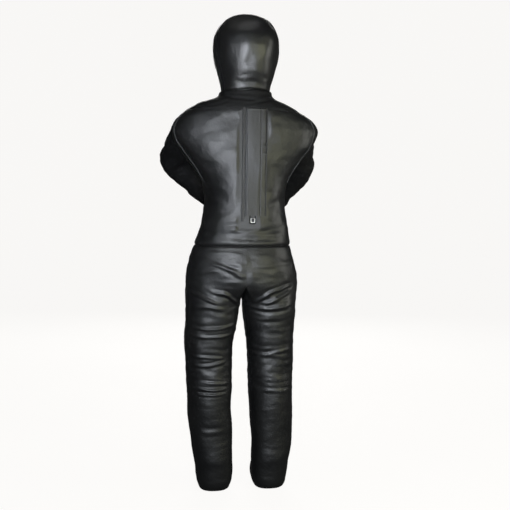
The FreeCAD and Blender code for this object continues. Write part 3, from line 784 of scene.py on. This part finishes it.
def make_lower_leg(label, side):
    """One leg from the thigh split down to the ankle."""
    table = np.asarray(LEG_ROWS)
    rows = resample(table[table[:, 0] < 0.66], SPACING * 0.85)
    rows = rows[rows[:, 0] <= THIGH_SPLIT_Z + 0.0005]
    last = np.concatenate([[THIGH_SPLIT_Z], leg_rows_at(np.array([THIGH_SPLIT_Z]))[0]])
    rows = np.vstack([rows[:-1], last])
    z, middle, half, front, behind = (v[:, None] for v in rows.T)
    start = math.pi - np.arctan2(behind, middle)
    stop = -(math.pi - np.arctan2(front, middle))
    outer_turn = start + (stop - start) * np.linspace(0, 1, 110)[None, :]
    inner_turn = stop + (start - 2 * math.pi - stop) * np.linspace(0, 1, 48)[None, 1:-1]
    turn = np.concatenate([outer_turn, inner_turn], axis=1)
    x = side * (middle + reach(np.cos(turn), half))
    if side > 0:
        x = x + LEFT_THIGH_OUT * np.exp(-((z - LEFT_THIGH_Z) / 0.09) ** 2)
    y = reach(np.sin(turn), np.where(np.sin(turn) > 0, behind, front))
    points = np.stack([x, y, np.broadcast_to(z, x.shape)], axis=2)
    if side < 0:
        points = points[:, ::-1]
    push = leg_push(side, points, LEG_SEEDS[side]) * smoothstep(0.004, 0.03, points[..., 2])
    points = points + normals_of(points) * push[..., None]
    leg = skin("leg_" + label, points)
    finish_piece(leg, GLOSS, "leather", "shin_front_panel_" + label, "shin_back_panel_" + label,
                 "shin_filling_" + label, "knee_gusset_" + label)
    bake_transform(leg)


def make_feet():
    """Plain padded feet, flat underneath."""
    for label, side in SIDES.items():
        points = ring_grid(FOOT_ROWS)
        push = lumps(points, 20.0, 0.0022, 40.0 + side) * smoothstep(0.0, 0.02, points[..., 2])
        points = points + normals_of(points) * push[..., None]
        points[..., 2] = np.maximum(points[..., 2], 0.0003)
        points[..., 0] += side * FOOT_X
        foot = skin("foot_" + label, points)
        finish_piece(foot, GLOSS, "leather", "foot_cover_" + label, "foot_filling_" + label, "sole_" + label)
        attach(foot, "shin_" + label)


# Arms

def limb_grid(stations, columns=96):
    """Round outlines along a bent centre line, from (centre, radius) stations."""
    centres = np.array([s[0] for s in stations], float)
    radii = np.array([s[1] for s in stations], float)
    steps = np.linalg.norm(np.diff(centres, axis=0), axis=1)
    along = np.concatenate([[0], np.cumsum(np.maximum(steps, np.abs(np.diff(radii)) * 0.6))])
    at = np.linspace(0, along[-1], int(along[-1] / SPACING))
    line = hermite(along, centres, at)
    radius = hermite(along, radii, at)
    ahead = np.gradient(line, axis=0)
    ahead /= np.linalg.norm(ahead, axis=1, keepdims=True)
    side = np.cross(ahead, [0.0, 0.0, 1.0])
    side /= np.linalg.norm(side, axis=1, keepdims=True)
    top = np.cross(side, ahead)
    turn = np.linspace(0, 2 * math.pi, columns, endpoint=False)
    grid = line[:, None] + radius[:, None, None] * (
        side[:, None] * np.cos(turn)[None, :, None] + top[:, None] * np.sin(turn)[None, :, None])
    return grid


def make_arms():
    """Both arms as bent tubes, each with its hand."""
    for label, side in SIDES.items():
        shoulder, elbow = PIVOT["shoulder_" + label], PIVOT["elbow_" + label]
        low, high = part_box("hand_cover_" + label)
        wrist = np.array([low[0] if side < 0 else high[0], high[1], high[2]])
        wrist = wrist + np.array([side * -0.030, -0.026, -0.028])
        if side < 0:
            elbow = elbow + np.array([0.010, 0.002, 0.009])
        upper = (elbow - shoulder) / np.linalg.norm(elbow - shoulder)
        fore = (wrist - elbow) / np.linalg.norm(wrist - elbow)
        stations = [
            (shoulder - upper * 0.056, 0.004),
            (shoulder - upper * 0.050, 0.026),
            (shoulder - upper * 0.034, 0.043),
            (shoulder - upper * 0.010, 0.052),
            (shoulder + upper * 0.040, 0.0550),
            (shoulder + upper * 0.110, 0.0530),
            (elbow - upper * 0.050, 0.0495),
            (elbow - upper * 0.018 - fore * 0.004, 0.0490),
            (elbow + fore * 0.020, 0.0485),
            (elbow + fore * 0.070, 0.0460),
            (wrist - fore * 0.020, 0.0410),
            (wrist + fore * 0.004, 0.0400),
        ]
        points = limb_grid(stations)
        push = lumps(points, 18.0, 0.0042, 70.0 + 9 * side)
        push = push + lumps(points * np.array([1.0, 1.0, 1.8]), 40.0, 0.0016, 75.0)
        points = points + normals_of(points) * push[..., None]
        arm = skin("arm_" + label, points)
        finish_piece(arm, DULL, "suede", "upper_arm_cover_" + label, "upper_arm_filling_" + label,
                     "elbow_gusset_" + label, "forearm_cover_" + label, "forearm_filling_" + label)
        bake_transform(arm)
        make_hand(label, side, wrist, fore)


HAND_ROWS = [   # (distance past the wrist, half width, half thickness)
    (-0.008, 0.038, 0.038),
    (0.000, 0.0425, 0.0425),
    (0.006, 0.0425, 0.0420),
    (0.028, 0.0415, 0.0370),
    (0.067, 0.0430, 0.0275),
    (0.095, 0.0360, 0.0235),
    (0.108, 0.0220, 0.0160),
    (0.1115, 0.0060, 0.0050),
]


def make_hand(label, side, wrist, fore):
    """A plain padded end piece that goes on along the forearm."""
    across = np.cross(fore, [1.0, 0.0, 0.0])
    across /= np.linalg.norm(across)
    through = np.cross(fore, across)
    table = np.asarray(HAND_ROWS)
    travel = np.hypot(np.diff(table[:, 0]), np.diff(table[:, 1]))
    along = np.concatenate([[0], np.cumsum(travel)])
    table = hermite(along, table, np.linspace(0, along[-1], 56))
    turn = np.linspace(0, 2 * math.pi, 88, endpoint=False)
    centre = wrist + table[:, :1] * fore
    wide, thick = table[:, 1][:, None, None], table[:, 2][:, None, None]
    points = centre[:, None] + (across * np.cos(turn)[None, :, None] * wide
                                + through * np.sin(turn)[None, :, None] * thick)
    push = lumps(points, 30.0, 0.0022, 90.0 + side)
    points = points + normals_of(points) * push[..., None]
    hand = skin("hand_" + label, points)
    finish_piece(hand, DULL, "suede", "hand_cover_" + label)
    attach(hand, "forearm_" + label)


# Zip flap

FLAP_PUCKERS = [   # (height, depth)
    (1.245, 0.0012),
    (1.222, 0.0014),
    (1.196, 0.0011),
    (1.075, 0.0008),
    (1.020, 0.0010),
    (0.985, 0.0012),
]
STITCH_PITCH = 0.0052
STITCH_MARGIN = 0.006    # bare ends of a row of stitches


def back_surface(x, z):
    """How far behind the middle plane the back's leather lies."""
    table = np.asarray(TORSO_ROWS)
    outline = hermite(table[:, 0], table[:, 1:], z.ravel()).reshape(z.shape + (3,))
    half, _, behind = np.moveaxis(outline, -1, 0)
    return np.minimum(behind * (1 - (np.abs(x) / half) ** POWER) ** (1 / POWER), BACK_Y)


def make_flap():
    """The flap over the zip, with puckers, bound edges and three rows of stitching."""
    low, high = np.array(FLAP_LOW), np.array(FLAP_HIGH)
    x = np.linspace(high[0], low[0], 70)
    z = np.linspace(low[2], high[2], 200)
    grid_x, grid_z = np.meshgrid(x, z)
    from_hem = (high[0] - grid_x) / (high[0] - low[0])
    lift = 0.0024 + 0.0020 * smoothstep(0.0, 0.07, from_hem)
    ripple = np.array([[noise.noise(Vector((px * 16, 3.0, pz * 9))) for px in x] for pz in z])
    lift = lift + 0.0016 * ripple
    edge = smoothstep(0.60, 1.0, from_hem)
    for height, depth in FLAP_PUCKERS:
        near = (grid_z - height) / 0.010
        lift = lift + depth * edge * np.cos(2.2 * near) * np.exp(-near ** 2)
    seams = {"free": low[0] + 0.0045, "strip": low[0] + 0.0225, "root": high[0] - 0.004}
    for line_x in seams.values():
        lift = lift - 0.0014 * np.exp(-((grid_x - line_x) / 0.0012) ** 2)
    lift = lift + 0.0022 * np.exp(-((grid_z - (high[2] - 0.004)) / 0.0035) ** 2)
    lift = lift + 0.0014 * np.exp(-((grid_x - (low[0] + 0.0016)) / 0.0013) ** 2)
    base = back_surface(grid_x, grid_z)
    outer = np.stack([grid_x, base + 0.0030 + lift, grid_z], axis=2)
    inner = outer.copy()
    inner[..., 1] = base + 0.0012 + 0.6 * lift
    loop = np.concatenate([outer, inner[:, ::-1]], axis=1)
    flap = skin("flap_skin", loop)
    finish_piece(flap, GLOSS, "leather", "zip_flap")
    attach(flap, "zip_flap")
    heights = np.arange(low[2] + STITCH_MARGIN, high[2] - STITCH_MARGIN, STITCH_PITCH)
    for name, line_x in seams.items():
        behind = back_surface(np.full(len(heights), line_x), heights) + 0.0030 + 0.0034
        stitch_row("flap_stitches_" + name, line_x, behind, heights, "zip_flap")


def make_hem():
    """The sewn-down edge beside the flap, with its two rows of stitching."""
    low, high = np.array(HEM_LOW), np.array(HEM_HIGH)
    x = np.linspace(high[0], low[0], 26)
    z = np.linspace(low[2], high[2], 190)
    grid_x, grid_z = np.meshgrid(x, z)
    share = (grid_x - low[0]) / (high[0] - low[0])
    lift = 0.0024 + 0.0016 * np.sin(math.pi * share)
    lift = lift * np.minimum(1, 12 * np.minimum(share, 1 - share) + 0.2)
    seams = {"inner": low[0] + 0.0028, "outer": high[0] - 0.0028}
    for line_x in seams.values():
        lift = lift - 0.0007 * np.exp(-((grid_x - line_x) / 0.0008) ** 2)
    ripple = np.array([[noise.noise(Vector((px * 30, 9.0, pz * 22))) for px in x] for pz in z])
    lift = lift + 0.0006 * ripple
    outer = np.stack([grid_x, BACK_Y + lift, grid_z], axis=2)
    inner = outer.copy()
    inner[..., 1] = BACK_Y - 0.0008
    hem = skin("flap_hem_skin", np.concatenate([outer, inner[:, ::-1]], axis=1))
    finish_piece(hem, GLOSS, "leather", "flap_hem")
    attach(hem, "torso")
    heights = np.arange(low[2] + STITCH_MARGIN, high[2] - STITCH_MARGIN, STITCH_PITCH)
    behind = np.full(len(heights), BACK_Y + 0.0022)
    for name, line_x in seams.items():
        stitch_row("hem_stitches_" + name, line_x, behind, heights, "torso")


def stitch_row(name, x, y, heights, body):
    """A row of raised thread stitches, each a short spindle."""
    sides = 6
    turn = np.linspace(0, 2 * math.pi, sides, endpoint=False)
    along = np.array([-0.0019, -0.0012, 0.0, 0.0012, 0.0019])
    radius = np.array([0.0002, 0.00055, 0.0007, 0.00055, 0.0002])
    vertices, faces = [], []
    for height, behind in zip(heights, y):
        first = len(vertices)
        for step, r in zip(along, radius):
            vertices += [(x + r * math.cos(t), behind + r * math.sin(t), height + step)
                         for t in turn]
        for row in range(len(along) - 1):
            for j in range(sides):
                k = (j + 1) % sides
                a, b = first + row * sides, first + (row + 1) * sides
                faces.append((a + j, a + k, b + k, b + j))
        faces.append(tuple(first + j for j in reversed(range(sides))))
        faces.append(tuple(first + (len(along) - 1) * sides + j for j in range(sides)))
    mesh = bpy.data.meshes.new(name)
    mesh.from_pydata(vertices, [], faces)
    mesh.update()
    mesh.shade_smooth()
    row = bpy.data.objects.new(name, mesh)
    bpy.context.scene.collection.objects.link(row)
    finish_piece(row, THREAD, "leather")
    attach(row, body)


def make_stage():
    """A pale floor that turns up into a wall all round."""
    profile = [(0.02, 0.0), (1.0, 0.0), (2.5, 0.0), (5.0, 0.0), (6.2, 0.12), (7.2, 0.7),
               (7.8, 1.8), (8.0, 3.5), (8.0, 7.0), (6.0, 9.5), (2.0, 10.5), (0.02, 10.6)]
    turn = np.linspace(0, 2 * math.pi, 96, endpoint=False)
    table = np.asarray(profile)
    grid = np.stack([table[:, :1] * np.cos(turn), -table[:, :1] * np.sin(turn),
                     np.broadcast_to(table[:, 1:], (len(table), len(turn)))], axis=2)
    stage = skin("stage", grid)
    stage.data.materials.append(stage_material())
    stage.visible_glossy = False
    stage.visible_diffuse = False


def area_light(name, place, target, size, power, colour, spread=180.0):
    """A rectangular light aimed at a target; spread is in degrees."""
    data = bpy.data.lights.new(name, "AREA")
    data.shape = "RECTANGLE"
    data.size, data.size_y = size
    data.energy = power
    data.color = colour
    data.spread = math.radians(spread)
    light = bpy.data.objects.new("light_" + name, data)
    light.location = place
    light.rotation_euler = (Vector(target) - Vector(place)).to_track_quat("-Z", "Y").to_euler()
    bpy.context.scene.collection.objects.link(light)


VIEW_AZIMUTH = math.radians(170.0)   # 180 is straight behind the figure
CAMERA_DISTANCE = 3.2
CAMERA_HEIGHT = 1.10
CAMERA_AIM = (0.0, 0.0, 0.842)
CAMERA_ROLL = math.radians(0.66)
CAMERA_SLIDE = 0.040


def around(degrees, distance, height):
    """A point round the figure, at an angle to the camera's side (positive to its right)."""
    turn = VIEW_AZIMUTH + math.radians(degrees)
    return (distance * math.sin(turn), -distance * math.cos(turn), height)


def make_lights():
    """Soft studio lights: most of them behind the figure, where the view is."""
    area_light("key", around(-18, 3.0, 1.00), (0, 0, 1.10), (0.6, 1.1), 10.0, (0.85, 0.91, 1.0))
    area_light("centre", around(5, 3.0, 0.92), (0, 0, 1.00), (0.40, 0.75), 46.0, (0.87, 0.92, 1.0))
    area_light("fill", around(41, 3.0, 1.10), (0, 0, 1.12), (0.8, 1.2), 15.0, (1.0, 1.0, 0.62))
    area_light("seat", around(-4, 2.9, 2.05), (0.05, 0, 0.80), (1.0, 0.6), 0.75,
               (0.90, 0.94, 1.0), spread=14.0)
    area_light("hood", around(-8, 3.0, 0.45), (0.02, 0, 1.50), (0.35, 0.4), 0.36,
               (0.90, 0.93, 1.0), spread=16.0)
    area_light("rim", around(80, 2.6, 1.2), (0, 0, 1.05), (0.6, 1.2), 12.0, (1.0, 1.0, 0.92))
    area_light("front", around(180, 3.6, 2.2), (0, 0, 1.0), (2.0, 2.0), 60.0, (1.0, 0.99, 0.97))
    area_light("top", (0.0, 0.6, 4.2), (0, 0, 0.8), (2.0, 2.0), 8.0, (1.0, 1.0, 1.0))
    world = bpy.data.worlds.new("world")
    world.use_nodes = True
    world.node_tree.nodes["Background"].inputs["Color"].default_value = (0.9, 0.9, 0.9, 1)
    world.node_tree.nodes["Background"].inputs["Strength"].default_value = 0.04
    bpy.context.scene.world = world


def make_camera():
    """The camera behind the figure, slid a little sideways and rolled."""
    data = bpy.data.cameras.new("camera")
    data.sensor_width = 36.0
    data.lens = 63.8
    camera = bpy.data.objects.new("camera", data)
    right = Vector((math.cos(VIEW_AZIMUTH), math.sin(VIEW_AZIMUTH), 0.0))
    camera.location = Vector(around(0, CAMERA_DISTANCE, CAMERA_HEIGHT)) + CAMERA_SLIDE * right
    look = (Vector(CAMERA_AIM) + CAMERA_SLIDE * right - camera.location).to_track_quat("-Z", "Y")
    camera.rotation_euler = look.to_euler()
    camera.rotation_euler.rotate_axis("Z", CAMERA_ROLL)
    bpy.context.scene.collection.objects.link(camera)
    bpy.context.scene.camera = camera


def dress_cad():
    """Materials of the CAD nodes that stay visible."""
    for name, material in (("zip_tape_left", TAPE), ("zip_tape_right", TAPE), ("zip_teeth", NYLON),
                           ("zip_end_stops", ENAMEL), ("zip_slider", ENAMEL), ("zip_pull", NICKEL),
                           ("flap_loop_strip", PILE), ("flap_hook_strip", PILE)):
        node = frame["nodes"][name]
        node.data.materials.clear()
        node.data.materials.append(material)


make_stage()
make_camera()
make_lights()
make_head()
make_collar()
make_torso()
make_legs()
make_feet()
make_arms()
make_flap()
make_hem()
dress_cad()
bpy.context.scene.view_settings.view_transform = "Standard"
bpy.context.view_layer.update()
